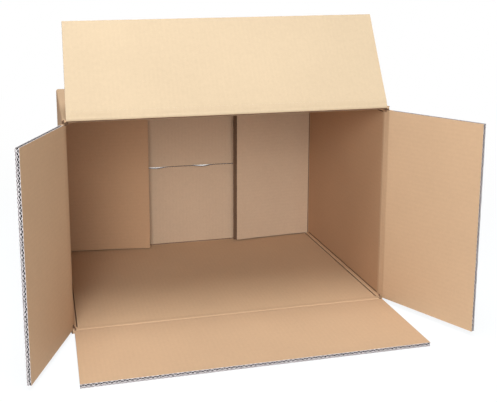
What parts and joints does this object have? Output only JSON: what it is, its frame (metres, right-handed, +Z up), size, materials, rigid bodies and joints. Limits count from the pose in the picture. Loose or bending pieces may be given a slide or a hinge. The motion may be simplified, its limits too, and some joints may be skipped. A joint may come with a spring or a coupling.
{
  "type": "corrugated shipping box",
  "caption": "Double-wall corrugated shipping carton lying on its side, its opening facing front, open flaps that fold, bottom flaps shut under tape.",
  "frame": {"origin": "middle of the outer face of the long wall that the carton lies on", "axes": "+Z up; +Y from the opening to the shut bottom; +X along the carton's length, to the right as seen from in front of the opening"},
  "size_m": [0.777, 0.6168, 0.5531],
  "materials": {
    "kraft_board": "matte uncoated kraft liner",
    "flap_board": "matte uncoated kraft liner",
    "seam_tape": "clear glossy packing film"
  },
  "bodies": {
    "carton": {"carton_body": "kraft_board", "bottom_seam_tape": "seam_tape"},
    "upper_flap": {"upper_major_flap": "flap_board"},
    "lower_flap": {"lower_major_flap": "flap_board"},
    "left_flap": {"left_minor_flap": "flap_board"},
    "right_flap": {"right_minor_flap": "flap_board"}
  },
  "joints": [
    {"name": "upper_flap_crease", "type": "hinge", "parent": "carton", "child": "upper_flap", "pos_m": [0, -0.2125, 0.384], "axis": [-1, 0, 0], "range_deg": [-210, 55]},
    {"name": "lower_flap_crease", "type": "hinge", "parent": "carton", "child": "lower_flap", "pos_m": [0, -0.2125, 0], "axis": [1, 0, 0], "range_deg": [-90, 0]},
    {"name": "left_flap_crease", "type": "hinge", "parent": "carton", "child": "left_flap", "pos_m": [-0.3, -0.2051, 0.192], "axis": [0, 0, -1], "range_deg": [-113.5, 151.5]},
    {"name": "right_flap_crease", "type": "hinge", "parent": "carton", "child": "right_flap", "pos_m": [0.3, -0.2051, 0.192], "axis": [0, 0, 1], "range_deg": [-119.5, 145.5]}
  ]
}
